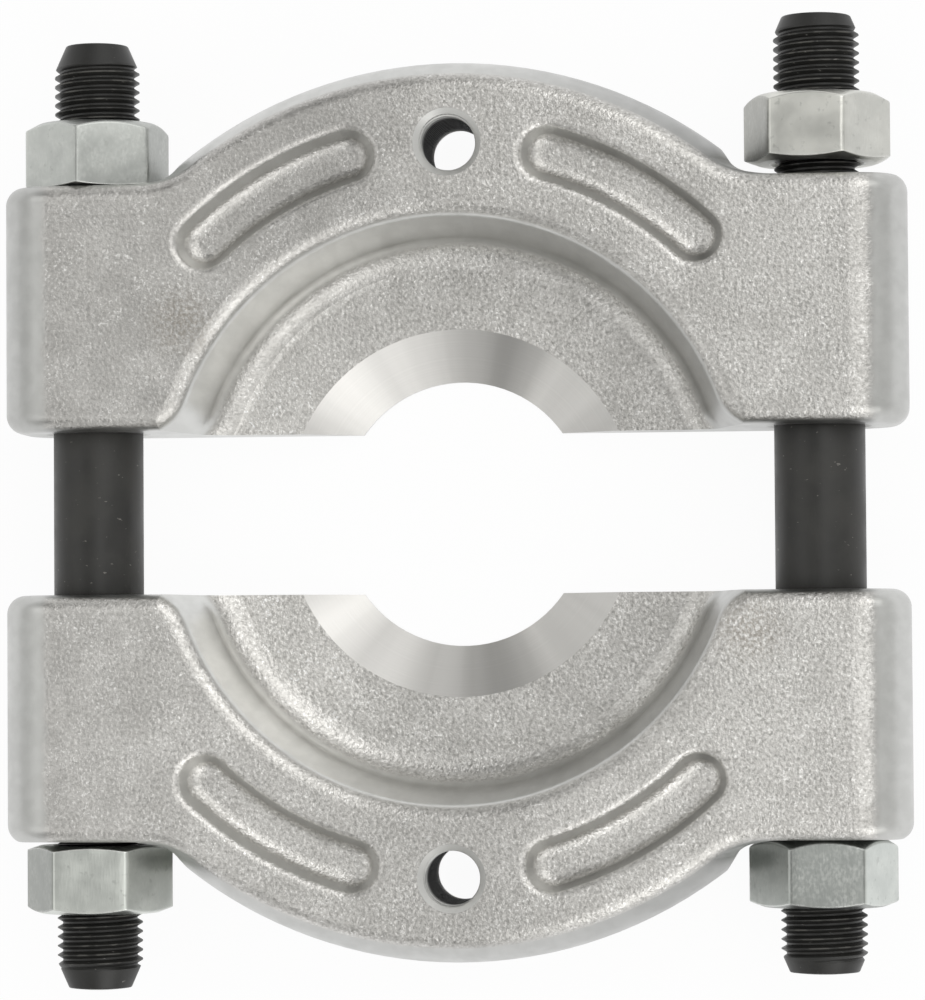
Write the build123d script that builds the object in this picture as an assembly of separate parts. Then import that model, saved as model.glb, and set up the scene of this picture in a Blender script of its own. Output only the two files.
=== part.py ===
from build123d import *
from math import atan2, cos, pi, radians, sin, sqrt, tan
import os

# Main sizes of one forged half, in millimetres.
# X runs from stud to stud, Y along the studs, Z up from the flat back to the dished front.
half_length = 147.0
half_thickness = 25.0
ear_height = 40.3
gap_at_rest = 26.4
arc_centre_below_parting = 11.5
outer_radius = 71.4
outer_draft = 17.0

# Rounded edges of the forging, and the stock that is ground off its back.
end_round = 9.5
back_grind = 0.4
junction_round = 8.0
front_edge_round = 3.0

# Dish, web and knife edge.
dish_radius = 46.0
dish_draft = 11.0
dish_cove_round = 5.4
dish_corner_round = 8.0
dish_corner_angle = 12.0
web_thickness = 6.5
cone_top_radius = 28.5
knife_radius = 20.1
knife_land = 0.8

# Long curved pockets in the front face, two on each half, by their angles from the middle.
pocket_middle_radius = 57.6
pocket_width = 9.3
pocket_depth = 3.6
pocket_near_angle = 16.3
pocket_far_angle = 43.5
pocket_draft = 30.0
pocket_floor_round = 2.6
pocket_rim_round = 1.5

# Tapped hole for a puller leg.
puller_hole_height = 45.8
puller_hole_diameter = 9.2
puller_chamfer = 0.9

# Studs and the plain holes that they slide in.
stud_to_end = 14.5
stud_length = 155.0
shank_diameter = 14.7
thread_diameter = 13.9
thread_length = 44.0
thread_run_out = 0.6
stud_lead_length = 3.0
stud_lead_depth = 1.3
stud_end_dome = 0.5
stud_hole_clearance = 0.6
stud_hole_chamfer = 0.6
right_stud_offset = 2.5

# Hexagon nuts, and the round seats milled for them on the ears.
nut_across_flats = 21.0
nut_height = 11.0
nut_chamfer_angle = 30.0
nut_face_inset = 0.8
nut_thread_clearance = 0.05
nut_bore_chamfer = 0.7
nut_to_seat_wall = 3.4
seat_corner_round = 2.5
seat_depth = 0.4

# How far two of the nuts stand off their seats, and how far each nut is turned from square.
upper_right_stand_off = 2.6
lower_left_stand_off = 0.8
upper_left_turn_angle = 20.0
upper_right_turn_angle = -9.0
lower_left_turn_angle = 1.0
lower_right_turn_angle = 4.0

# How far cutting shapes run past the faces that they cut.
overshoot = 14.0

# Sizes worked out from the ones above.
mid_height = half_thickness / 2
half_gap = gap_at_rest / 2
stud_x = half_length / 2 - stud_to_end
stud_hole_radius = shank_diameter / 2 + stud_hole_clearance
nut_corner_radius = nut_across_flats / sqrt(3)
seat_radius = nut_corner_radius + nut_to_seat_wall
arc_centre_y = -arc_centre_below_parting

# Side, end, stand-off and turn of each nut.
nut_places = {
    "nut_upper_left": (-1, 1, 0, upper_left_turn_angle),
    "nut_upper_right": (1, 1, upper_right_stand_off, upper_right_turn_angle),
    "nut_lower_left": (-1, -1, lower_left_stand_off, lower_left_turn_angle),
    "nut_lower_right": (1, -1, 0, lower_right_turn_angle),
}


def level_edges(body, height):
    """Edges that lie level at one height."""
    level = []
    for edge in body.edges():
        box = edge.bounding_box()
        if abs(box.min.Z - height) < 0.01 and abs(box.max.Z - height) < 0.01:
            level.append(edge)
    return level


def outer_arc_body():
    """Round back of the half, barrelled so that it is widest at its mid-height."""
    edge_radius = outer_radius - mid_height * tan(radians(outer_draft))
    top = (edge_radius, half_thickness)
    bottom = (edge_radius, 0)
    wall = ThreePointArc(bottom, (outer_radius, mid_height), top)
    inside = Polyline(top, (0, half_thickness), (0, 0), bottom)
    disc = revolve(Plane.XZ * make_face(wall + inside), axis=Axis.Z)
    keep = Box(
        2 * outer_radius,
        outer_radius,
        half_thickness,
        align=(Align.CENTER, Align.MIN, Align.MIN),
    )
    return Pos(0, arc_centre_y, 0) * disc & Pos(0, ear_height * 0.75, 0) * keep


def ear_bar():
    """Straight bar through both ears, rounded at its ends, with its back ground flat."""
    forged_thickness = half_thickness + back_grind
    outline = Rectangle(half_length, forged_thickness, align=(Align.CENTER, Align.MAX))
    outline = fillet(outline.vertices(), end_round)
    section = Pos(0, 0, half_thickness) * (Plane.XZ * outline)
    bar = extrude(section, amount=-ear_height)
    return split(bar, bisect_by=Plane.XY, keep=Keep.TOP)


def blank():
    """Round back and bar in one, with the hollow where they meet rounded."""
    body = outer_arc_body() + ear_bar()
    hollows = []
    for edge in body.edges():
        centre = edge.center()
        between_ends = abs(centre.X) < half_length / 2 - end_round / 2
        if between_ends and abs(centre.Y - ear_height) < 0.5 and abs(centre.Z - mid_height) < 2:
            hollows.append(edge)
    return fillet(hollows, junction_round)


def dish_outline():
    """Mouth of the dish: one large arc, and a small arc at each end that flares out."""
    open_angle = radians(dish_corner_angle)
    flare_y = dish_corner_round * cos(open_angle)
    flare_x = sqrt((dish_radius + dish_corner_round) ** 2 - (flare_y - arc_centre_y) ** 2)
    turn = atan2(flare_y - arc_centre_y, flare_x)
    tangent = (dish_radius * cos(turn), arc_centre_y + dish_radius * sin(turn))
    half_way = (open_angle + pi / 2 - turn) / 2
    middle_x = flare_x - dish_corner_round * sin(half_way)
    middle_y = flare_y - dish_corner_round * cos(half_way)
    crossing_x = flare_x - dish_corner_round * sin(open_angle)
    run_x = crossing_x + overshoot * cos(open_angle)
    run_y = -overshoot * sin(open_angle)
    low = -2 * overshoot
    outline = ThreePointArc((-tangent[0], tangent[1]), (0, arc_centre_y + dish_radius), tangent)
    for side in (-1, 1):
        start = (side * tangent[0], tangent[1])
        crossing = (side * crossing_x, 0)
        outline += ThreePointArc(start, (side * middle_x, middle_y), crossing)
        outline += Polyline(crossing, (side * run_x, run_y), (side * run_x, low))
    outline += Line((-run_x, low), (run_x, low))
    return make_face(outline)


def dish_tool():
    """Solid of the dish, drafted down to the web and rounded at its foot."""
    mouth = Pos(0, 0, half_thickness) * dish_outline()
    tool = extrude(mouth, amount=web_thickness - half_thickness, taper=dish_draft)
    foot = [edge for edge in level_edges(tool, web_thickness) if abs(edge.center().X) > 1 or edge.center().Y > 0]
    return fillet(foot, dish_cove_round)


def knife_tool():
    """Turned cone from the web down to the knife edge, and the hole inside it."""
    outline = Polyline(
        (0, -1),
        (knife_radius, -1),
        (knife_radius, knife_land),
        (cone_top_radius, web_thickness),
        (cone_top_radius, half_thickness),
        (0, half_thickness),
        close=True,
    )
    cone = revolve(Plane.XZ * make_face(outline), axis=Axis.Z)
    return Pos(0, arc_centre_y, 0) * cone


def round_front_edges(body):
    """Round the outline, the dish rim and the front edges of the ears."""
    return fillet(level_edges(body, half_thickness), front_edge_round)


def pocket_tool(side):
    """Long curved pocket with drafted walls and a rounded floor."""
    start = 90 - side * pocket_near_angle
    size = -side * (pocket_far_angle - pocket_near_angle)
    spine = CenterArc((0, arc_centre_y), pocket_middle_radius, start, size)
    mouth = Pos(0, 0, half_thickness) * SlotArc(spine, pocket_width)
    tool = extrude(mouth, amount=-pocket_depth, taper=pocket_draft)
    return fillet(level_edges(tool, half_thickness - pocket_depth), pocket_floor_round)


def cut_pockets(body):
    """Sink both pockets, and round their rims."""
    for side in (-1, 1):
        body -= pocket_tool(side)
    rims = []
    for edge in level_edges(body, half_thickness):
        centre = edge.center()
        away = sqrt(centre.X**2 + (centre.Y - arc_centre_y) ** 2)
        if abs(away - pocket_middle_radius) < pocket_width * 0.6 and centre.Y > ear_height / 4:
            rims.append(edge)
    return fillet(rims, pocket_rim_round)


def puller_hole_tool():
    """Hole for a puller leg, chamfered at both faces."""
    radius = puller_hole_diameter / 2
    outline = Polyline(
        (0, -1),
        (radius + puller_chamfer + 1, -1),
        (radius, puller_chamfer),
        (radius, half_thickness - puller_chamfer),
        (radius + puller_chamfer + 1, half_thickness + 1),
        (0, half_thickness + 1),
        close=True,
    )
    hole = revolve(Plane.XZ * make_face(outline), axis=Axis.Z)
    return Pos(0, puller_hole_height, 0) * hole


def stud_hole_tool():
    """Plain hole through an ear, chamfered at both faces."""
    wide = stud_hole_radius + stud_hole_chamfer + 1
    outline = Polyline(
        (0, -1),
        (wide, -1),
        (stud_hole_radius, stud_hole_chamfer),
        (stud_hole_radius, ear_height - stud_hole_chamfer),
        (wide, ear_height + 1),
        (0, ear_height + 1),
        close=True,
    )
    return revolve(make_face(outline), axis=Axis.Y)


def seat_tool():
    """Round milled seat that clears the nut where the round back rises beside it."""
    outline = Rectangle(seat_radius, outer_radius, align=(Align.MIN, Align.MIN))
    outline = fillet(outline.vertices().group_by(Axis.Y)[0].group_by(Axis.X)[-1], seat_corner_round)
    return Pos(0, ear_height - seat_depth, 0) * revolve(outline, axis=Axis.Y)


def forged_half():
    """One finished half, with its parting face in the plane Y = 0 and its back on Z = 0."""
    body = round_front_edges(blank() - dish_tool())
    stud_cut = seat_tool() + stud_hole_tool()
    for side in (-1, 1):
        body -= Pos(side * stud_x, 0, mid_height) * stud_cut
    body = cut_pockets(body)
    body -= knife_tool()
    body -= puller_hole_tool()
    return body


def stud():
    """Stud with a plain shank, and a reduced thread blank with a domed end at each end, along Y."""
    half = stud_length / 2
    shank_end = half - thread_length
    shank_r = shank_diameter / 2
    thread_r = thread_diameter / 2
    tip_r = thread_r - stud_lead_depth
    tip_y = half - stud_end_dome
    dome_radius = (tip_r**2 + stud_end_dome**2) / (2 * stud_end_dome)
    outline = Polyline(
        (0, 0),
        (shank_r, 0),
        (shank_r, shank_end - thread_run_out),
        (thread_r, shank_end),
        (thread_r, tip_y - stud_lead_length),
        (tip_r, tip_y),
    )
    outline += RadiusArc((tip_r, tip_y), (0, half), -dome_radius)
    outline += Line((0, half), (0, 0))
    end = revolve(make_face(outline), axis=Axis.Y)
    return end + mirror(end, about=Plane.XZ)


def nut():
    """Hexagon nut along Y from Y = 0, with a face towards the front and both ends chamfered."""
    hexagon = RegularPolygon(nut_across_flats / 2, 6, major_radius=False)
    prism = extrude(Plane.XZ * hexagon, amount=-nut_height)
    face_r = nut_across_flats / 2 - nut_face_inset
    drop = (nut_corner_radius - face_r) * tan(radians(nut_chamfer_angle))
    envelope = Polyline(
        (0, 0),
        (face_r, 0),
        (nut_corner_radius, drop),
        (nut_corner_radius, nut_height - drop),
        (face_r, nut_height),
        (0, nut_height),
        close=True,
    )
    prism &= revolve(make_face(envelope), axis=Axis.Y)
    bore_r = thread_diameter / 2 + nut_thread_clearance
    wide = bore_r + nut_bore_chamfer + 1
    bore = Polyline(
        (0, -1),
        (wide, -1),
        (bore_r, nut_bore_chamfer),
        (bore_r, nut_height - nut_bore_chamfer),
        (wide, nut_height + 1),
        (0, nut_height + 1),
        close=True,
    )
    return prism - revolve(make_face(bore), axis=Axis.Y)


def place_nut(shape, side, end, stand_off, turn):
    """Put a nut on its stud, outside its ear, and turn it about the stud."""
    nut_y = half_gap + ear_height - seat_depth + stand_off
    placed = shape if end > 0 else mirror(shape, about=Plane.XZ)
    return Pos(side * stud_x, end * nut_y, mid_height) * Rot(0, turn, 0) * placed


def all_parts():
    """Every piece by its name, standing on Z = 0 with the whole object centred in X and Y."""
    half = forged_half()
    pin = stud()
    hexagon_nut = nut()
    parts = {
        "upper_half": Pos(0, half_gap, 0) * half,
        "lower_half": Rot(0, 0, 180) * (Pos(0, half_gap, 0) * half),
        "stud_left": Pos(-stud_x, 0, mid_height) * pin,
        "stud_right": Pos(stud_x, right_stud_offset, mid_height) * pin,
    }
    for name, place in nut_places.items():
        parts[name] = place_nut(hexagon_nut, *place)
    centring = Pos(0, -right_stud_offset / 2, 0)
    return {name: centring * shape for name, shape in parts.items()}


os.makedirs("parts", exist_ok=True)
for name, shape in all_parts().items():
    shape.label = name
    export_step(shape, f"parts/{name}.step")
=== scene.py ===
import math

import bmesh
import bpy
from mathutils import Matrix, Vector


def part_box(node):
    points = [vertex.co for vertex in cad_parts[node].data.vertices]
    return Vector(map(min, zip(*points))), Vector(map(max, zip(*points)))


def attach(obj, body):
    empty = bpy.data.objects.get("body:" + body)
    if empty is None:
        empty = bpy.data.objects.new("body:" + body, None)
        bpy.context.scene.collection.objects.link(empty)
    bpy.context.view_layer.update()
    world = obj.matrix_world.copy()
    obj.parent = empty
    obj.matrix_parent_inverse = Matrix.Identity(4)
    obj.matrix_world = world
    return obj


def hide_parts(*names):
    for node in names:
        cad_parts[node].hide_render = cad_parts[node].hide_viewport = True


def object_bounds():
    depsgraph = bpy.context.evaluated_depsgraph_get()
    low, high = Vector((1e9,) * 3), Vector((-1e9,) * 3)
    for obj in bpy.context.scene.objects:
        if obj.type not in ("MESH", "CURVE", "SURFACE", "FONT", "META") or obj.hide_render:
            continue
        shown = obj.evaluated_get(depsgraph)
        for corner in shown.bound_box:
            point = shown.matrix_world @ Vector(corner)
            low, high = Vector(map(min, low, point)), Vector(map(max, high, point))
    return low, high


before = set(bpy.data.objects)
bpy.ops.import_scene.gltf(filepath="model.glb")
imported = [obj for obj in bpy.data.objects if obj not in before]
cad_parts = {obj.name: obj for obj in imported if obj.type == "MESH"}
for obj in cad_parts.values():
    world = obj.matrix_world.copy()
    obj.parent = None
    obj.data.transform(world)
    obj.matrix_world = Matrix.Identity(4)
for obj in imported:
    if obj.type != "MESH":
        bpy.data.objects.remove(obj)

cad_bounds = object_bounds()
MM = 0.001

# Camera, solved from the outlines in the photograph.
CAMERA_PLACE = Vector((71.4, -26.35, 724.5)) * MM
CAMERA_YAW = math.radians(5.65)
CAMERA_PITCH = math.radians(-2.16)
CAMERA_ROLL = math.radians(0.39)
CAMERA_LENS_MM = 158.4
CAMERA_SENSOR_MM = 36.0
CAMERA_REACH = 10

# Light from all round: its level, how much of it blue has, and the brighter and darker patches in it
# (direction, radius in degrees, change).
SURROUNDINGS_LEVEL = 0.70
SURROUNDINGS_BLUE = 0.985
SOFT_BOXES = [
    ((0.45, -0.66, 0.60), 32, 1.25),
    ((0.45, 0.53, 0.69), 30, 1.35),
    ((0.20, 0.0, 0.98), 18, 1.0),
    ((0.0, 0.0, 1.0), 12, -0.3),
    ((-0.30, 0.0, 0.95), 22, -0.35),
    ((0.55, 0.0, 0.83), 24, -0.2),
    ((-0.38, -0.72, 0.57), 20, -0.6),
    ((-0.36, 0.73, 0.57), 20, -0.7),
    ((-0.66, -0.36, 0.65), 26, 0.5),
    ((-0.66, 0.36, 0.65), 26, 0.45),
]

# The floor: half its width in metres, how far it lies below the tool, its colour,
# and how much of what the camera sees of it is plain white.
FLOOR_HALF_WIDTH = 3.0
FLOOR_DROP = 0.05 * MM
FLOOR_COLOUR = (0.92, 0.92, 0.92, 1)
FLOOR_WHITE_SHARE = 0.95

# Sizes of the forged halves that their finishes follow, in millimetres.
MIDDLE_Y = -1.25
ARC_CENTRE_FROM_MIDDLE = 1.7
CONE_RADIUS = 28.5
WEB_TOP = 6.5
PULLER_HOLE_FROM_MIDDLE = 59.0
PULLER_HOLE_RADIUS = 4.6

# Stud sizes, in millimetres.
SHANK_RADIUS = 7.35
CREST_RADIUS = 6.95
THREAD_PITCH = 1.5
THREAD_DEPTH = 0.87
THREAD_LENGTH = 44.0
THREAD_RUN_OUT = 0.6

# A stud's domed ends: height and edge in millimetres, and the shares of the radius that its rings have.
STUD_DOME = 0.5
DOME_EDGE = 0.12
DOME_RINGS = (0.8, 0.55, 0.3)
DOME_FULLNESS = 1.05

# The radius of each stud's ends, how long they taper, and how far they are plain, in millimetres.
STUD_TIPS = {"stud_left": (5.15, 4.1, 2.1), "stud_right": (5.65, 3.0, 0.8)}

# The shape of a thread: steps in a turn, flank angle, the crest's share of what the flanks leave,
# and how deep the edges of the root lie.
TURN_STEPS = 48
FLANK_ANGLE = math.radians(30)
CREST_SHARE = 0.36
ROOT_EDGE = 0.97

# Threads in the puller holes, in millimetres.
PULLER_PITCH = 1.5
PULLER_THREAD_DEPTH = 0.25
PULLER_HOLE_CHAMFER = 0.9
PULLER_SLEEVE_WALL = 0.3
PULLER_LIT_DEPTH = 7.0

# Nut sizes, in millimetres.
NUT_INSIDE_RADIUS = 10.5
NUT_CORNER_ROUND = 0.9
NUT_FACE_RADIUS = 9.7
NUT_FACE_ROUND = 0.12
NUT_EDGE_ROUND = 0.56
NUT_BORE_RADIUS = 7.0
NUT_BORE_CHAMFER = 0.7

# How finely a nut is cut round its axis: half a face without its corner, half a face, and steps in each.
NUT_FLAT_ANGLE = math.radians(27.8)
NUT_CORNER_ANGLE = math.radians(30)
NUT_FLAT_STEPS = 10
NUT_CORNER_STEPS = 4

# Each nut's turn and the chamfers of its two ends in degrees, tint,
# painted light and shade on its left, middle and right faces as their brightness, and scuffing.
NUTS = {
    "nut_upper_left": (23, (15, 29), (0.99, 1.0, 1.0), (1.10, 0.87, 0.78), 0.22),
    "nut_upper_right": (-9, (20, 30), (1.02, 1.0, 0.98), (0.78, 1.40, 1.20), 0.20),
    "nut_lower_left": (1, (21, 18), (0.985, 1.0, 0.985), (0.66, 1.38, 1.05), 0.15),
    "nut_lower_right": (4, (20, 32), (0.975, 1.0, 1.0), (1.04, 0.58, 1.28), 0.26),
}

# How each half's steel looks: painted light over the whole half, painted light and shade on the web at its
# left end, middle and right end, painted shade on its outer wall at the left and right, where painted shade
# on its front is strongest and where its grain turns coarser (X in millimetres), painted highlights and
# shade in bands round the turned cone (sine of the angle, half width, change in brightness), and faint
# brown stains (middle in metres, radius in millimetres, strength).
HALF_LOOKS = {
    "upper_half": {
        "painted_brightness": 1.0,
        "web_painted_light": (1.2, 0.97, 0.90),
        "outer_shades": (-0.07, -0.22),
        "front_shade_x": -20.0,
        "coarse_x": -10.0,
        "cone_painted_bands": [
            (-0.72, 0.18, 0.08),
            (-0.50, 0.14, -0.11),
            (-0.12, 0.20, 0.12),
            (0.30, 0.16, -0.16),
            (0.56, 0.14, 0.16),
            (0.88, 0.15, -0.14),
        ],
        "stains": [((-0.0433, 0.0296, 0.025), 8.0, 0.5)],
    },
    "lower_half": {
        "painted_brightness": 1.08,
        "web_painted_light": (1.2, 0.90, 0.85),
        "outer_shades": (-0.27, -0.20),
        "front_shade_x": 2.0,
        "coarse_x": -50.0,
        "cone_painted_bands": [
            (-0.80, 0.12, 0.10),
            (-0.60, 0.16, -0.18),
            (-0.34, 0.14, 0.08),
            (0.15, 0.26, -0.16),
            (0.52, 0.18, 0.24),
            (0.88, 0.15, -0.06),
        ],
        "stains": [((0.0477, -0.0210, 0.025), 8.0, 0.45)],
    },
}

# In all finishes below, a size is in millimetres, and a span is the two levels
# between which a noise or slope fades a pattern in.
NOISE_SPAN = (0.3, 0.7)

# Blasted steel: blotches, dark pits and pale peaks of its grain, clustered sparkle painted as glints, and
# relief.
BLOTCH_SIZE = 9.0
BLOTCH_COLOURS = ((0.550, 0.538, 0.517, 1), (0.630, 0.617, 0.595, 1))
GRAIN_SIZE = 0.58
COARSE_REACH = 25
PIT_SPAN = (0.52, 0.28)
PIT_AMOUNTS = (0.45, 0.75)
PIT_COLOUR = (0.34, 0.333, 0.317, 1)
PEAK_SPAN = (0.52, 0.75)
PEAK_AMOUNTS = (0.45, 0.72)
PEAK_COLOUR = (0.90, 0.888, 0.865, 1)
CLUSTER_SIZE = 4.5
CLUSTER_SPAN = (0.42, 0.62)
SPARKLE_SIZE = 0.42
SPARKLE_SPAN = (0.58, 0.72)
SPARKLE_AMOUNT = 0.8
SPARKLE_COLOUR = (0.98, 0.97, 0.95, 1)
STAIN_SPAN = (0.60, 0.40)
STAIN_COLOUR = (0.33, 0.285, 0.235, 1)
# Painted shade on the front, round one place along X: how far it reaches and how dark it gets.
FRONT_SHADE_REACH = 24
FRONT_SHADE_AMOUNT = 0.15
RELIEF_SIZE = 0.64
RELIEF_AMOUNTS = (1.0, 1.35)
RELIEF_STRENGTH = 0.7
RELIEF_HEIGHT = 0.17
STEEL_GLOSS_SIZE = 5.0
STEEL_ROUGHNESS = (0.29, 0.37)

# Ground steel: the slope from which walls count as ground, the wavering band at each end,
# streaks across the walls, painted light and shade along the half and painted shade on the outer wall, and
# grinding marks.
GROUND_SLOPE = (0.72, 0.42)
END_BAND_FROM = 66.2
END_BAND_EDGE = (-0.6, 1.4)
END_BAND_SHIFT = 1.8
WAVER_SIZE = 3.0
WAVER_REACH = 1.6
STREAK_SIZE = 2.2
STREAK_SPAN = (0.35, 0.65)
STREAK_COLOURS = ((0.565, 0.567, 0.552, 1), (0.61, 0.612, 0.597, 1))
WALL_LEFT_PLACES = (-66, -42)
WALL_LEFT_PAINTED_LIGHT = (0.87, 1.11)
WALL_RIGHT_PLACES = (5, 45)
WALL_RIGHT_SHADE = -0.16
OFF_BAND_SHADE = -0.15
OUTER_WALL_RADII = (50, 56)
OUTER_WALL_TO = 45
MARK_SIZE = 0.25
MARK_HEIGHT = 0.06
COUNTERSINK_COLOUR = (0.76, 0.757, 0.74, 1)

# The web and the turned cone: slopes, places along X where the web's painted light and shade change, rings,
# and chatter round the knife edge.
WEB_SLOPE = (0.8, 0.95)
WEB_MARGIN = 0.1
WEB_LEFT_PLACES = (-34, 0)
WEB_RIGHT_PLACES = (5, 34)
CONE_SLOPE = (0.3, 0.5)
CONE_MARGINS = (0.02, 0.01)
RING_SIZE = 0.33
RING_STRENGTH = 0.05
RING_HEIGHT = 0.02
CHATTER_SCALE = 6.0
RING_SHARE = 0.2
TURNED_SPAN = (0.35, 0.65)
TURNED_COLOURS = ((0.635, 0.624, 0.606, 1), (0.690, 0.678, 0.660, 1))
CONE_ROUGHNESS = 0.34
CONE_ANISOTROPY = 0.85

# Zinc plate: where the left and right faces start for their painted light and shade, clouds, dark specks,
# scuffs, edges that are partly worn and partly painted highlights, and relief.
LEFT_FACE_SPAN = (-0.6, -0.3)
RIGHT_FACE_SPAN = (0.4, 0.6)
ZINC_CLOUD_SIZE = 6.0
ZINC_COLOURS = ((0.47, 0.48, 0.46, 1), (0.56, 0.57, 0.545, 1))
SPECK_SIZE = 1.2
SPECK_SPAN = (0.60, 0.74)
SPECK_AMOUNT = 0.3
SPECK_COLOUR = (0.25, 0.26, 0.24, 1)
LINE_SIZE = 0.30
SCUFF_SIZE = 0.45
SCUFF_SPAN = (0.38, 0.72)
SCUFF_PATCH_SIZE = 3.0
SCUFF_PATCH_SPAN = (0.25, 0.65)
SCUFF_COLOUR = (0.80, 0.805, 0.78, 1)
EDGE_WEAR_HIGHLIGHT_RADIUS = 0.38
EDGE_WEAR_HIGHLIGHT_SPAN = (0.998, 0.955)
EDGE_WEAR_HIGHLIGHT_PATCH_SIZE = 2.0
EDGE_WEAR_HIGHLIGHT_PATCH_SPAN = (0.25, 0.45)
EDGE_WEAR_HIGHLIGHT_COLOUR = (0.90, 0.905, 0.885, 1)
DENT_SIZE = 2.5
DENT_AMOUNT = 2.0
ZINC_RELIEF_STRENGTH = 0.35
ZINC_RELIEF_HEIGHT = 0.05
ZINC_ROUGHNESS = (0.30, 0.38)

# Black oxide: clouds on the shank, darker threads, worn crests, nicks, and drawn streaks.
THREAD_FADE = 0.5
BLACK_CLOUD_SIZE = 7.0
SHANK_COLOURS = ((0.018, 0.0175, 0.016, 1), (0.030, 0.029, 0.026, 1))
THREAD_COLOUR = (0.014, 0.0138, 0.0125, 1)
CREST_DEPTHS = (0.16, 0.04)
CREST_PATCH_SIZE = 2.5
CREST_PATCH_SPAN = (0.45, 0.62)
CREST_WEAR = 0.5
CREST_COLOUR = (0.12, 0.116, 0.105, 1)
NICK_SIZE = 1.1
NICK_SPAN = (0.69, 0.75)
NICK_AMOUNT = 0.6
NICK_COLOUR = (0.24, 0.23, 0.21, 1)
DRAWN_SIZE = 0.5
BLACK_RELIEF_STRENGTH = 0.25
BLACK_RELIEF_HEIGHT = 0.03
BLACK_ROUGHNESS = (0.36, 0.50)

# The puller holes' threads: painted shade deep inside, and painted light, pale and patchy, near their
# mouths.
BORE_SHADE_AND_LIGHT_COLOURS = ((0.012, 0.012, 0.012, 1), (0.84, 0.838, 0.82, 1))
BORE_PATCH_SIZE = 4.0
BORE_PATCH_SPAN = (0.2, 0.7)
BORE_PATCH_AMOUNTS = (0.6, 1.0)
BORE_ROUGHNESS = 0.55
BORE_SPECULAR = 0.25

# How close points are merged, in metres, and from which angle an edge stays sharp.
MERGE_DISTANCE = 1e-6
SHARP_ANGLE = math.radians(35)


def add_camera():
    """Camera at the photograph's place, looking down on the tool."""
    data = bpy.data.cameras.new("camera")
    data.lens = CAMERA_LENS_MM
    data.sensor_width = CAMERA_SENSOR_MM
    data.clip_end = CAMERA_REACH
    camera = bpy.data.objects.new("camera", data)
    bpy.context.collection.objects.link(camera)
    turn = (
        Matrix.Rotation(CAMERA_ROLL, 3, "Z")
        @ Matrix.Rotation(CAMERA_PITCH, 3, "X")
        @ Matrix.Rotation(-CAMERA_YAW, 3, "Y")
    )
    camera.matrix_world = Matrix.Translation(CAMERA_PLACE) @ turn.transposed().to_4x4()
    bpy.context.scene.camera = camera


class Nodes:
    """Short calls that add shader nodes to one material or world."""

    def __init__(self, owner):
        owner.use_nodes = True
        self.tree = owner.node_tree
        self.tree.nodes.clear()

    def add(self, kind, inputs=None, **settings):
        """Add a node, set its settings, and set or link its inputs."""
        item = self.tree.nodes.new(kind)
        for key, value in settings.items():
            setattr(item, key, value)
        for key, value in (inputs or {}).items():
            if isinstance(value, bpy.types.NodeSocket):
                self.tree.links.new(value, item.inputs[key])
            else:
                item.inputs[key].default_value = value
        return item

    def calc(self, operation, first, second=0.0, third=0.0):
        """Result of a math node."""
        inputs = {0: first, 1: second, 2: third}
        return self.add("ShaderNodeMath", inputs, operation=operation).outputs[0]

    def product(self, first, second):
        """Product of two numbers."""
        return self.calc("MULTIPLY", first, second)

    def invert(self, value):
        """What a share leaves of one."""
        return self.calc("SUBTRACT", 1.0, value)

    def ramp(self, value, low, high, from_value=0.0, to_value=1.0):
        """Smooth step of a value from one level to another."""
        inputs = {
            "Value": value,
            "From Min": low,
            "From Max": high,
            "To Min": from_value,
            "To Max": to_value,
        }
        return self.add("ShaderNodeMapRange", inputs, interpolation_type="SMOOTHSTEP").outputs[0]

    def mix(self, amount, first, second):
        """Mix of two colours."""
        inputs = {0: amount, 6: first, 7: second}
        return self.add("ShaderNodeMix", inputs, data_type="RGBA").outputs[2]

    def noise(self, place, size_mm, detail=2.0, roughness=0.5):
        """Noise with features of about one size."""
        inputs = {"Vector": place, "Scale": 1 / (size_mm * MM), "Detail": detail, "Roughness": roughness}
        return self.add("ShaderNodeTexNoise", inputs).outputs[0]

    def vector(self, operation, first, second=(0, 0, 0)):
        """Vector that a vector math node gives."""
        inputs = {0: first, 1: second}
        return self.add("ShaderNodeVectorMath", inputs, operation=operation).outputs[0]

    def measure(self, operation, first, second=(0, 0, 0)):
        """Number that a vector math node gives."""
        inputs = {0: first, 1: second}
        return self.add("ShaderNodeVectorMath", inputs, operation=operation).outputs["Value"]

    def stretch(self, place, x=1.0, y=1.0, z=1.0):
        """Place scaled along each axis, for streaks."""
        return self.vector("MULTIPLY", place, (x, y, z))

    def scale(self, colour, amount):
        """Colour made brighter or darker."""
        inputs = {0: colour, "Scale": amount}
        return self.add("ShaderNodeVectorMath", inputs, operation="SCALE").outputs[0]

    def parts(self, vector):
        """The three parts of a vector."""
        return self.add("ShaderNodeSeparateXYZ", {0: vector}).outputs

    def join(self, x, y, z):
        """Vector of three parts."""
        return self.add("ShaderNodeCombineXYZ", {0: x, 1: y, 2: z}).outputs[0]

    def object_place(self):
        """Place on the object."""
        return self.add("ShaderNodeTexCoord").outputs["Object"]

    def normal(self):
        """Direction that the surface faces in."""
        return self.add("ShaderNodeNewGeometry").outputs["Normal"]

    def bump(self, strength, height_mm, height):
        """Relief from a height."""
        inputs = {"Strength": strength, "Distance": height_mm * MM, "Height": height}
        return self.add("ShaderNodeBump", inputs).outputs[0]

    def surface(self, inputs):
        """Principled shader."""
        return self.add("ShaderNodeBsdfPrincipled", inputs).outputs[0]

    def blend(self, share, first, second):
        """Blend of two shaders."""
        return self.add("ShaderNodeMixShader", {0: share, 1: first, 2: second}).outputs[0]

    def output(self, shader, kind="ShaderNodeOutputMaterial"):
        """Link the finished shader to the output."""
        self.add(kind, {"Surface": shader})


def new_material(name):
    """Empty material and its node helper."""
    material = bpy.data.materials.new(name)
    return material, Nodes(material)


def millimetres(*values):
    """Lengths in metres from lengths in millimetres."""
    return [value * MM for value in values]


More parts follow.
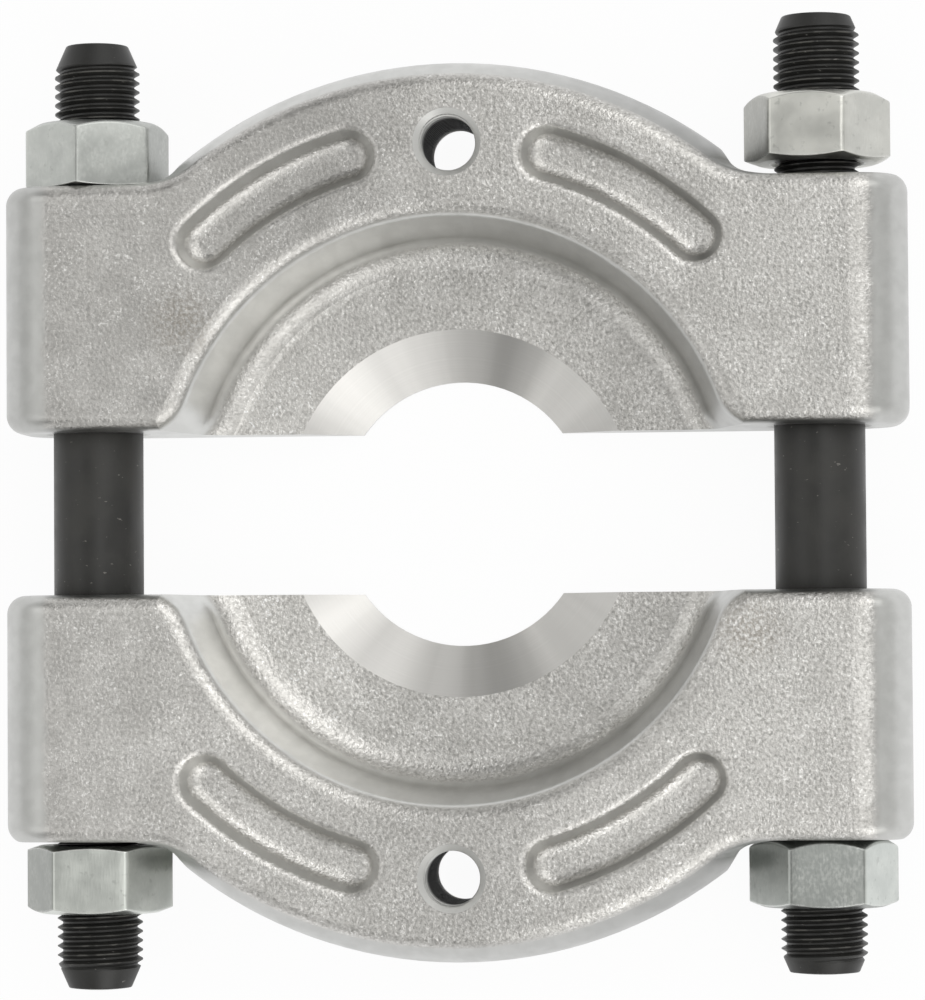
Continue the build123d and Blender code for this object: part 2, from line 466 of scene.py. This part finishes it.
def end_band_mask(nodes, place, x):
    """The ground band round each end of a half, with a wavering edge."""
    waver = nodes.product(nodes.noise(place, WAVER_SIZE), WAVER_REACH * MM)
    outward = nodes.calc("ADD", nodes.calc("ABSOLUTE", x), waver)
    outward = nodes.calc("SUBTRACT", outward, nodes.ramp(x, 0.0, MM, 0.0, END_BAND_SHIFT * MM))
    return nodes.ramp(outward, *[(END_BAND_FROM + edge) * MM for edge in END_BAND_EDGE])


def countersink_mask(nodes, place, side):
    """The chamfer of a half's puller hole."""
    hole_y = (MIDDLE_Y + side * PULLER_HOLE_FROM_MIDDLE) * MM
    gap = nodes.measure("DISTANCE", nodes.stretch(place, z=0.0), (0, hole_y, 0))
    return nodes.calc("LESS_THAN", gap, (PULLER_HOLE_RADIUS + PULLER_HOLE_CHAMFER) * MM)


def cone_mask(nodes, z, radius, upward):
    """The turned cone down to the knife edge."""
    inside = nodes.calc("LESS_THAN", radius, (CONE_RADIUS + CONE_MARGINS[0]) * MM)
    low = nodes.calc("LESS_THAN", z, (WEB_TOP - CONE_MARGINS[1]) * MM)
    return nodes.product(nodes.product(inside, low), nodes.ramp(upward, *CONE_SLOPE))


def blasted_colour(nodes, place, blasted, grain, coarse):
    """Blotches, the light and dark grain of the blasting, and sparkle painted as glints."""
    blotch = nodes.noise(place, BLOTCH_SIZE, detail=4.0)
    colour = nodes.mix(nodes.ramp(blotch, *NOISE_SPAN), *BLOTCH_COLOURS)
    pits = nodes.product(nodes.ramp(grain, *PIT_SPAN), blasted)
    pits = nodes.product(pits, nodes.ramp(coarse, 0, 1, *PIT_AMOUNTS))
    colour = nodes.mix(pits, colour, PIT_COLOUR)
    peaks = nodes.product(nodes.ramp(grain, *PEAK_SPAN), blasted)
    peaks = nodes.product(peaks, nodes.ramp(coarse, 0, 1, *PEAK_AMOUNTS))
    colour = nodes.mix(peaks, colour, PEAK_COLOUR)
    # Sparkle painted as glints: pale specks in clusters.
    clusters = nodes.ramp(nodes.noise(place, CLUSTER_SIZE, detail=3.0), *CLUSTER_SPAN)
    sparkle = nodes.ramp(nodes.noise(place, SPARKLE_SIZE, detail=1.0), *SPARKLE_SPAN)
    sparkle = nodes.product(nodes.product(sparkle, clusters), blasted)
    return nodes.mix(nodes.product(sparkle, SPARKLE_AMOUNT), colour, SPARKLE_COLOUR)


def ground_colour(nodes, place, x, radius, end_band, outer_shades):
    """Streaked walls, with painted light and shade along the half and painted shade round the back."""
    streaks = nodes.noise(nodes.stretch(place, z=0.25), STREAK_SIZE, detail=4.0)
    colour = nodes.mix(nodes.ramp(streaks, *STREAK_SPAN), *STREAK_COLOURS)
    # Painted light and shade along the walls, and painted shade on the outer wall round the back.
    right_places = millimetres(*WALL_RIGHT_PLACES)
    outer_shade = nodes.ramp(x, 0.0, OUTER_WALL_TO * MM, *outer_shades)
    outer = nodes.product(nodes.ramp(radius, *millimetres(*OUTER_WALL_RADII)), outer_shade)
    off_ends = nodes.calc("ADD", outer, nodes.ramp(x, *right_places, 0.0, OFF_BAND_SHADE))
    shade = nodes.ramp(x, *millimetres(*WALL_LEFT_PLACES), *WALL_LEFT_PAINTED_LIGHT)
    shade = nodes.calc("ADD", shade, nodes.ramp(x, *right_places, 0.0, WALL_RIGHT_SHADE))
    shade = nodes.calc("ADD", shade, nodes.product(off_ends, nodes.invert(end_band)))
    return nodes.scale(colour, shade)


def steel_shade(nodes, x, z, upward, blasted, look):
    """Painted light and shade: how bright the web and front are from end to end."""
    low = nodes.calc("LESS_THAN", z, (WEB_TOP + WEB_MARGIN) * MM)
    on_web = nodes.product(low, nodes.ramp(upward, *WEB_SLOPE))
    left, centre, right = look["web_painted_light"]
    across = nodes.ramp(x, *millimetres(*WEB_LEFT_PLACES), left, centre)
    to_right = nodes.ramp(x, *millimetres(*WEB_RIGHT_PLACES), 0.0, right - centre)
    across = nodes.calc("ADD", across, to_right)
    shade = nodes.calc("ADD", 1.0, nodes.product(nodes.calc("SUBTRACT", across, 1.0), on_web))
    # Painted shade on the front, strongest at one place along X.
    from_front_shade = nodes.calc("ABSOLUTE", nodes.calc("SUBTRACT", x, look["front_shade_x"] * MM))
    off_web = nodes.product(blasted, nodes.invert(on_web))
    front_shade = nodes.product(nodes.ramp(from_front_shade, FRONT_SHADE_REACH * MM, 0.0, 0.0, FRONT_SHADE_AMOUNT), off_web)
    return nodes.product(nodes.calc("SUBTRACT", shade, front_shade), look["painted_brightness"])


def steel_relief(nodes, place, blasted, ground, coarse):
    """Blasted grain and fine grinding marks."""
    grain = nodes.noise(place, RELIEF_SIZE, detail=3.0, roughness=0.6)
    depth = nodes.product(blasted, nodes.ramp(coarse, 0, 1, *RELIEF_AMOUNTS))
    marks = nodes.noise(nodes.stretch(place, x=0.15), MARK_SIZE, detail=3.0)
    marks = nodes.product(nodes.product(marks, MARK_HEIGHT), ground)
    height = nodes.calc("ADD", nodes.product(grain, depth), marks)
    return nodes.bump(RELIEF_STRENGTH, RELIEF_HEIGHT, height)


def turned_steel(nodes, x, off_y, radius, painted_bands):
    """Turned steel, with its grain running round the knife edge, and painted highlights and shade in bands
    round it.
    """
    rings = nodes.add(
        "ShaderNodeTexNoise",
        {"W": nodes.product(radius, 1 / (RING_SIZE * MM)), "Scale": 1.0, "Detail": 2.0},
        noise_dimensions="1D",
    ).outputs[0]
    outward = nodes.join(x, off_y, 0.0)
    heading = nodes.vector("NORMALIZE", outward)
    chatter_inputs = {"Vector": heading, "Scale": CHATTER_SCALE, "Detail": 2.0}
    chatter = nodes.add("ShaderNodeTexNoise", chatter_inputs).outputs[0]
    turning = nodes.calc("ADD", nodes.product(rings, RING_SHARE), nodes.product(chatter, 1 - RING_SHARE))
    colour = nodes.mix(nodes.ramp(turning, *TURNED_SPAN), *TURNED_COLOURS)
    # Painted highlights and shade: bands by direction round the cone.
    sine = nodes.parts(heading)[0]
    painted_brightness = 1.0
    for middle, half_width, change in painted_bands:
        gap = nodes.calc("ABSOLUTE", nodes.calc("SUBTRACT", sine, middle))
        painted_brightness = nodes.calc("ADD", painted_brightness, nodes.ramp(gap, half_width, 0.0, 0.0, change))
    inputs = {
        "Base Color": nodes.scale(colour, painted_brightness),
        "Metallic": 1.0,
        "Roughness": CONE_ROUGHNESS,
        "Anisotropic": CONE_ANISOTROPY,
        "Tangent": outward,
        "Normal": nodes.bump(RING_STRENGTH, RING_HEIGHT, rings),
    }
    return nodes.surface(inputs)


def forged_material(name, side, look):
    """Blasted silver steel, ground on its walls and ends, and turned on the cone to the knife edge."""
    material, nodes = new_material(name)
    place = nodes.object_place()
    x, y, z = nodes.parts(place)
    upward = nodes.parts(nodes.normal())[2]
    off_y = nodes.calc("SUBTRACT", y, (MIDDLE_Y + side * ARC_CENTRE_FROM_MIDDLE) * MM)
    squares = nodes.calc("ADD", nodes.calc("POWER", x, 2), nodes.calc("POWER", off_y, 2))
    radius = nodes.calc("SQRT", squares)

    # Where the steel is ground or drilled instead of blasted.
    end_band = end_band_mask(nodes, place, x)
    countersunk = countersink_mask(nodes, place, side)
    ground = nodes.calc("MAXIMUM", end_band, nodes.ramp(upward, *GROUND_SLOPE))
    ground = nodes.calc("MAXIMUM", ground, countersunk)
    blasted = nodes.invert(ground)

    grain = nodes.noise(place, GRAIN_SIZE, detail=2.0, roughness=0.6)
    coarse_from, coarse_to = millimetres(look["coarse_x"] - COARSE_REACH, look["coarse_x"] + COARSE_REACH)
    coarse = nodes.ramp(x, coarse_from, coarse_to)
    colour = blasted_colour(nodes, place, blasted, grain, coarse)
    wall_colour = ground_colour(nodes, place, x, radius, end_band, look["outer_shades"])
    colour = nodes.mix(ground, colour, wall_colour)
    # Painted light and shade over the whole half, the web and the front.
    colour = nodes.scale(colour, steel_shade(nodes, x, z, upward, blasted, look))
    colour = nodes.mix(countersunk, colour, COUNTERSINK_COLOUR)
    for middle, radius_mm, amount in look["stains"]:
        round_spot = nodes.ramp(nodes.measure("DISTANCE", place, middle), radius_mm * MM, 0.0)
        stain = nodes.product(round_spot, nodes.ramp(grain, *STAIN_SPAN))
        colour = nodes.mix(nodes.product(stain, amount), colour, STAIN_COLOUR)

    gloss = nodes.noise(place, STEEL_GLOSS_SIZE)
    cast_inputs = {
        "Base Color": colour,
        "Metallic": 1.0,
        "Roughness": nodes.ramp(gloss, *NOISE_SPAN, *STEEL_ROUGHNESS),
        "Normal": steel_relief(nodes, place, blasted, ground, coarse),
    }
    cast = nodes.surface(cast_inputs)
    cone = turned_steel(nodes, x, off_y, radius, look["cone_painted_bands"])
    nodes.output(nodes.blend(cone_mask(nodes, z, radius, upward), cast, cone))
    return material


def zinc_material(name, tint, painted_face_light, scuffing):
    """Zinc plate of one nut, with its own tint, painted light and shade on each face, scuffs, and bright
    edges, partly worn and partly painted highlights.
    """
    material, nodes = new_material(name + "_zinc")
    coordinates = nodes.add("ShaderNodeTexCoord")
    place = coordinates.outputs["Object"]
    across = nodes.parts(coordinates.outputs["Normal"])[0]
    # Painted light and shade: each face of the nut brighter or darker as the light falls on it.
    left, middle, right = painted_face_light
    painted_brightness = nodes.ramp(across, *LEFT_FACE_SPAN, left, middle)
    painted_brightness = nodes.calc("ADD", painted_brightness, nodes.ramp(across, *RIGHT_FACE_SPAN, 0.0, right - middle))

    cloud = nodes.noise(place, ZINC_CLOUD_SIZE, detail=3.0)
    colour = nodes.mix(nodes.ramp(cloud, *NOISE_SPAN), *ZINC_COLOURS)
    colour = nodes.scale(nodes.vector("MULTIPLY", colour, tint), painted_brightness)
    specks = nodes.ramp(nodes.noise(place, SPECK_SIZE, detail=4.0), *SPECK_SPAN)
    colour = nodes.mix(nodes.product(specks, SPECK_AMOUNT), colour, SPECK_COLOUR)
    fine = nodes.noise(nodes.stretch(place, y=0.6), SCUFF_SIZE, detail=4.0)
    patches = nodes.ramp(nodes.noise(place, SCUFF_PATCH_SIZE), *SCUFF_PATCH_SPAN)
    scuffs = nodes.product(nodes.ramp(fine, *SCUFF_SPAN), patches)
    colour = nodes.mix(nodes.product(scuffs, scuffing), colour, SCUFF_COLOUR)

    # Edges made paler: partly wear, partly painted highlights.
    rounded = nodes.add("ShaderNodeBevel", {"Radius": EDGE_WEAR_HIGHLIGHT_RADIUS * MM}, samples=6).outputs[0]
    agree = nodes.measure("DOT_PRODUCT", rounded, nodes.normal())
    patches = nodes.ramp(nodes.noise(place, EDGE_WEAR_HIGHLIGHT_PATCH_SIZE), *EDGE_WEAR_HIGHLIGHT_PATCH_SPAN)
    wear_and_highlight = nodes.product(nodes.ramp(agree, *EDGE_WEAR_HIGHLIGHT_SPAN), patches)
    colour = nodes.mix(wear_and_highlight, colour, EDGE_WEAR_HIGHLIGHT_COLOUR)

    lines = nodes.noise(nodes.stretch(place, y=0.15), LINE_SIZE, detail=4.0)
    height = nodes.calc("ADD", lines, nodes.product(nodes.noise(place, DENT_SIZE), DENT_AMOUNT))
    inputs = {
        "Base Color": colour,
        "Metallic": 1.0,
        "Roughness": nodes.ramp(cloud, *NOISE_SPAN, *ZINC_ROUGHNESS),
        "Normal": nodes.bump(ZINC_RELIEF_STRENGTH, ZINC_RELIEF_HEIGHT, height),
    }
    nodes.output(nodes.surface(inputs))
    return material


def black_material(name):
    """Black oxide, darker on the threads, with worn crests and small nicks."""
    material, nodes = new_material(name + "_black")
    place = nodes.object_place()
    low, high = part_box(name)
    offset = nodes.vector("SUBTRACT", place, (low + high) / 2)
    along = nodes.parts(offset)[1]
    from_axis = nodes.measure("LENGTH", nodes.stretch(offset, y=0.0))
    thread_start = (high.y - low.y) / 2 - THREAD_LENGTH * MM
    threaded = nodes.ramp(nodes.calc("ABSOLUTE", along), thread_start - THREAD_FADE * MM, thread_start)

    cloud = nodes.noise(place, BLACK_CLOUD_SIZE, detail=4.0)
    colour = nodes.mix(nodes.ramp(cloud, *NOISE_SPAN), *SHANK_COLOURS)
    colour = nodes.mix(threaded, colour, THREAD_COLOUR)
    crests = nodes.ramp(from_axis, *[(CREST_RADIUS - depth) * MM for depth in CREST_DEPTHS])
    patches = nodes.ramp(nodes.noise(place, CREST_PATCH_SIZE), *CREST_PATCH_SPAN)
    crests = nodes.product(nodes.product(crests, patches), threaded)
    colour = nodes.mix(nodes.product(crests, CREST_WEAR), colour, CREST_COLOUR)
    nicks = nodes.ramp(nodes.noise(nodes.stretch(place, y=2.0), NICK_SIZE, detail=3.0), *NICK_SPAN)
    colour = nodes.mix(nodes.product(nicks, NICK_AMOUNT), colour, NICK_COLOUR)
    streaks = nodes.noise(nodes.stretch(place, y=0.08), DRAWN_SIZE, detail=3.0)
    inputs = {
        "Base Color": colour,
        "Metallic": 0.0,
        "Roughness": nodes.ramp(cloud, *NOISE_SPAN, *BLACK_ROUGHNESS),
        "Specular IOR Level": 0.5,
        "Normal": nodes.bump(BLACK_RELIEF_STRENGTH, BLACK_RELIEF_HEIGHT, streaks),
    }
    nodes.output(nodes.surface(inputs))
    return material


def bore_material():
    """Threads of a puller hole, with painted shade deep inside and painted light near its two mouths."""
    material, nodes = new_material("bore_painted_shade")
    place = nodes.object_place()
    z = nodes.parts(place)[2]
    low, high = cad_bounds[0][2], cad_bounds[1][2]
    from_face = nodes.calc("MINIMUM", nodes.calc("SUBTRACT", high, z), nodes.calc("SUBTRACT", z, low))
    # Painted shade deep in the hole, painted light near its mouths.
    lit = nodes.ramp(from_face, *millimetres(PULLER_LIT_DEPTH, PULLER_HOLE_CHAMFER))
    patches = nodes.ramp(nodes.noise(place, BORE_PATCH_SIZE), *BORE_PATCH_SPAN, *BORE_PATCH_AMOUNTS)
    lit = nodes.product(lit, patches)
    inputs = {
        "Base Color": nodes.mix(lit, *BORE_SHADE_AND_LIGHT_COLOURS),
        "Metallic": lit,
        "Roughness": BORE_ROUGHNESS,
        "Specular IOR Level": BORE_SPECULAR,
    }
    nodes.output(nodes.surface(inputs))
    return material


def finish_piece(name, mesh, material, body, node=None):
    """Make an object of a bmesh, shade it, and let it ride on its body."""
    bmesh.ops.remove_doubles(mesh, verts=mesh.verts, dist=MERGE_DISTANCE)
    bmesh.ops.dissolve_degenerate(mesh, edges=mesh.edges, dist=MERGE_DISTANCE)
    bmesh.ops.recalc_face_normals(mesh, faces=mesh.faces)
    data = bpy.data.meshes.new(name)
    mesh.to_mesh(data)
    mesh.free()
    data.polygons.foreach_set("use_smooth", [True] * len(data.polygons))
    data.set_sharp_from_angle(angle=SHARP_ANGLE)
    data.materials.append(material)
    piece = bpy.data.objects.new(name, data)
    bpy.context.collection.objects.link(piece)
    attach(piece, body)
    if node:
        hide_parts(node)


def add_face(mesh, corners):
    """Add a face unless it is degenerate or already there."""
    distinct = list(dict.fromkeys(corners))
    if len(distinct) > 2 and not mesh.faces.get(distinct):
        mesh.faces.new(distinct)


def thread_section(pitch, depth):
    """One pitch of a thread with flat crests and 60 degree flanks, as (advance, share of its depth)."""
    flank = depth * math.tan(FLANK_ANGLE)
    crest = (pitch - 2 * flank) * CREST_SHARE
    root = pitch - 2 * flank - crest
    return [
        (0.0, 0.0),
        (crest, 0.0),
        (crest + flank * 0.5, 0.5),
        (crest + flank, ROOT_EDGE),
        (crest + flank + root / 2, 1.0),
        (crest + flank + root, ROOT_EDGE),
        (crest + flank * 1.5 + root, 0.5),
    ]


def add_helix(mesh, section, pitch, start, stop, radius_at, place):
    """Helical surface from start to stop, closed on itself turn by turn."""
    turns = math.ceil((stop - start) / pitch) + 2
    strips = []
    for step in range(turns * TURN_STEPS + 1):
        angle = 2 * math.pi * (step % TURN_STEPS) / TURN_STEPS
        strip = []
        for advance, depth_share in section:
            along = start - pitch + advance + pitch * step / TURN_STEPS
            along = min(max(along, start), stop)
            strip.append(mesh.verts.new(place(angle, radius_at(along, depth_share), along)))
        strips.append(strip)
    for step in range(len(strips) - 1):
        here, following = strips[step], strips[step + 1]
        for index in range(len(section) - 1):
            add_face(mesh, [here[index], following[index], following[index + 1], here[index + 1]])
        if step + TURN_STEPS + 1 < len(strips):
            above, later = strips[step + TURN_STEPS], strips[step + TURN_STEPS + 1]
            add_face(mesh, [here[-1], following[-1], later[0], above[0]])


def add_rings(mesh, profile, place):
    """Turned surface through a list of (radius, place along the axis)."""
    rings = []
    for radius, along in profile:
        if radius == 0:
            rings.append([mesh.verts.new(place(0, 0, along))] * TURN_STEPS)
            continue
        angles = [2 * math.pi * step / TURN_STEPS for step in range(TURN_STEPS)]
        rings.append([mesh.verts.new(place(angle, radius, along)) for angle in angles])
    for low, high in zip(rings, rings[1:]):
        for step in range(TURN_STEPS):
            after = (step + 1) % TURN_STEPS
            add_face(mesh, [low[step], low[after], high[after], high[step]])


def add_stud(name, material):
    """Stud with a plain shank, real threads, tapered leads and domed ends."""
    low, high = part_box(name)
    middle = (low + high) / 2
    tip_radius, lead_length, plain_length = STUD_TIPS[name]
    half = (high.y - low.y) / MM / 2
    thread_start = half - THREAD_LENGTH
    shank_end = thread_start - THREAD_RUN_OUT
    tip = half - STUD_DOME
    section = thread_section(THREAD_PITCH, THREAD_DEPTH)

    def radius_at(along, depth_share):
        from_plain = max(0.0, (tip - plain_length - along) / THREAD_PITCH)
        fade = min(1.0, (along - thread_start) / THREAD_PITCH, from_plain)
        lead = tip_radius + (CREST_RADIUS - tip_radius) * (tip - along) / lead_length
        return min(CREST_RADIUS - THREAD_DEPTH * depth_share * fade, lead)

    mesh = bmesh.new()
    for end in (-1, 1):

        def place(angle, radius, along):
            # A right-handed helix keeps its hand when it is turned end for end.
            across = radius * MM * math.cos(angle)
            up = -end * radius * MM * math.sin(angle)
            return middle + Vector((across, end * along * MM, up))

        add_helix(mesh, section, THREAD_PITCH, thread_start, tip, radius_at, place)
        dome = [(tip_radius, tip), (tip_radius - DOME_EDGE, tip + DOME_EDGE)]
        for share in DOME_RINGS:
            below = (STUD_DOME - DOME_EDGE) * share**2 * DOME_FULLNESS
            dome.append((tip_radius * share, half - below))
        dome.append((0, half))
        add_rings(mesh, dome, place)
        add_rings(mesh, [(SHANK_RADIUS, 0), (SHANK_RADIUS, shank_end), (CREST_RADIUS, thread_start)], place)
    finish_piece(name + "_threaded", mesh, material, name, name)


def add_puller_thread(name, side, material):
    """Threads in a half's puller hole, as a thin sleeve set into its wall."""
    low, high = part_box(name)
    middle_y = MIDDLE_Y + side * PULLER_HOLE_FROM_MIDDLE
    start = low.z / MM + PULLER_HOLE_CHAMFER
    stop = high.z / MM - PULLER_HOLE_CHAMFER
    section = thread_section(PULLER_PITCH, PULLER_THREAD_DEPTH)

    def radius_at(along, depth_share):
        fade = min(1.0, (along - start) / PULLER_PITCH, (stop - along) / PULLER_PITCH)
        return PULLER_HOLE_RADIUS - PULLER_THREAD_DEPTH * (1 - depth_share) * fade

    def place(angle, radius, along):
        return Vector((radius * math.cos(angle), middle_y + radius * math.sin(angle), along)) * MM

    mesh = bmesh.new()
    add_helix(mesh, section, PULLER_PITCH, start, stop, radius_at, place)
    back = PULLER_HOLE_RADIUS + PULLER_SLEEVE_WALL
    sleeve = [(PULLER_HOLE_RADIUS, start), (back, start), (back, stop), (PULLER_HOLE_RADIUS, stop)]
    add_rings(mesh, sleeve, place)
    finish_piece(name + "_puller_thread", mesh, material, name)


def hexagon_radius(angle):
    """Distance from the axis to the rounded hexagon, with the angle from the middle of a face."""
    corner = NUT_CORNER_ANGLE
    from_corner = corner - abs((angle + corner) % (2 * corner) - corner)
    arc_middle = (NUT_INSIDE_RADIUS - NUT_CORNER_ROUND) / math.cos(corner)
    meet = math.atan2(arc_middle * math.sin(corner), NUT_INSIDE_RADIUS)
    if corner - from_corner <= meet:
        return NUT_INSIDE_RADIUS / math.cos(corner - from_corner)
    along = arc_middle * math.cos(from_corner)
    return along + math.sqrt(NUT_CORNER_ROUND**2 - (arc_middle * math.sin(from_corner)) ** 2)


def rounded_corner(before, corner, after, reach, steps=4):
    """Points of a smooth curve that cuts a corner of a profile."""
    first = corner + (before - corner).normalized() * reach
    last = corner + (after - corner).normalized() * reach
    points = []
    for step in range(steps + 1):
        share = step / steps
        points.append(first * (1 - share) ** 2 + corner * 2 * share * (1 - share) + last * share**2)
    return points


def nut_profile(outside, height, chamfer):
    """Half of a nut's section at one angle, as (radius, height) from its bore to its middle."""
    bore_edge = Vector((NUT_BORE_RADIUS + NUT_BORE_CHAMFER, 0))
    face_edge = Vector((NUT_FACE_RADIUS, 0))
    corner = Vector((outside, (outside - NUT_FACE_RADIUS) * math.tan(chamfer)))
    waist = Vector((outside, height / 2))
    points = [Vector((NUT_BORE_RADIUS, height / 2)), Vector((NUT_BORE_RADIUS, NUT_BORE_CHAMFER)), bore_edge]
    points += rounded_corner(bore_edge, face_edge, corner, NUT_FACE_ROUND, 2)
    points += rounded_corner(face_edge, corner, waist, NUT_EDGE_ROUND * math.tan(chamfer))
    points.append(waist)
    return points


def nut_angles():
    """Angles round a nut, closer together at its corners."""
    flat, corner = NUT_FLAT_ANGLE, NUT_CORNER_ANGLE
    shares = [-flat + 2 * flat * step / NUT_FLAT_STEPS for step in range(NUT_FLAT_STEPS + 1)]
    shares += [flat + 2 * (corner - flat) * step / NUT_CORNER_STEPS for step in range(1, NUT_CORNER_STEPS)]
    return [share + 2 * corner * face for face in range(6) for share in shares]


def add_nut(name, turn, chamfers, material):
    """Hexagon nut with rounded corners and conical chamfers, turned as the real one stands."""
    low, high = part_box(name)
    middle = (low + high) / 2
    height = (high.y - low.y) / MM
    mesh = bmesh.new()
    rings = []
    for angle in nut_angles():
        outside = hexagon_radius(angle)
        lower, upper = [nut_profile(outside, height, math.radians(chamfer)) for chamfer in chamfers]
        section = [(point.x, point.y - height / 2) for point in lower]
        section += [(point.x, height / 2 - point.y) for point in reversed(upper[1:-1])]
        direction = angle + turn
        ring = []
        for radius, along in section:
            offset = Vector((radius * math.sin(direction), along, radius * math.cos(direction)))
            ring.append(mesh.verts.new(middle + offset * MM))
        rings.append(ring)
    for index, ring in enumerate(rings):
        after = rings[(index + 1) % len(rings)]
        for step in range(len(ring)):
            following = (step + 1) % len(ring)
            add_face(mesh, [ring[step], ring[following], after[following], after[step]])
    finish_piece(name + "_plated", mesh, material, name, name)


def add_floor():
    """Plain pale floor that keeps the tool's shadow."""
    mesh = bmesh.new()
    bmesh.ops.create_grid(mesh, x_segments=1, y_segments=1, size=FLOOR_HALF_WIDTH)
    data = bpy.data.meshes.new("floor")
    mesh.to_mesh(data)
    mesh.free()
    material, nodes = new_material("floor_white")
    paper = nodes.add("ShaderNodeBsdfDiffuse", {"Color": FLOOR_COLOUR}).outputs[0]
    glow = nodes.add("ShaderNodeEmission", {"Color": (1, 1, 1, 1), "Strength": 1.0}).outputs[0]
    path = nodes.add("ShaderNodeLightPath")
    seen = nodes.calc("MAXIMUM", path.outputs["Is Camera Ray"], path.outputs["Is Transmission Ray"])
    seen = nodes.calc("MAXIMUM", seen, path.outputs["Is Glossy Ray"])
    nodes.output(nodes.blend(nodes.product(seen, FLOOR_WHITE_SHARE), paper, glow))
    data.materials.append(material)
    floor = bpy.data.objects.new("floor", data)
    floor.location.z = -FLOOR_DROP
    bpy.context.collection.objects.link(floor)


def add_surroundings():
    """Studio seen in the steel: pale all round, with soft boxes and darker gaps between them."""
    world = bpy.data.worlds.new("surroundings")
    bpy.context.scene.world = world
    nodes = Nodes(world)
    direction = nodes.add("ShaderNodeTexCoord").outputs["Generated"]
    level = SURROUNDINGS_LEVEL
    for place, radius, change in SOFT_BOXES:
        facing = nodes.measure("DOT_PRODUCT", direction, Vector(place).normalized())
        patch = nodes.ramp(facing, math.cos(math.radians(radius)), 1.0, 0.0, change)
        level = nodes.calc("ADD", level, patch)
    shade = nodes.join(level, level, nodes.product(level, SURROUNDINGS_BLUE))
    soft = nodes.add("ShaderNodeBackground", {"Color": shade, "Strength": 1.0}).outputs[0]
    nodes.output(soft, "ShaderNodeOutputWorld")


bore = bore_material()
for node_name, side in (("upper_half", 1), ("lower_half", -1)):
    add_puller_thread(node_name, side, bore)
    finish = forged_material(node_name + "_steel", side, HALF_LOOKS[node_name])
    for material_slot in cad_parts[node_name].material_slots:
        material_slot.material = finish
for stud_name in ("stud_left", "stud_right"):
    add_stud(stud_name, black_material(stud_name))
for nut_name, (turn, chamfers, tint, painted_face_light, scuffing) in NUTS.items():
    plating = zinc_material(nut_name, tint, painted_face_light, scuffing)
    add_nut(nut_name, math.radians(turn), chamfers, plating)
add_floor()
add_surroundings()
add_camera()
bpy.context.scene.view_settings.view_transform = "Standard"
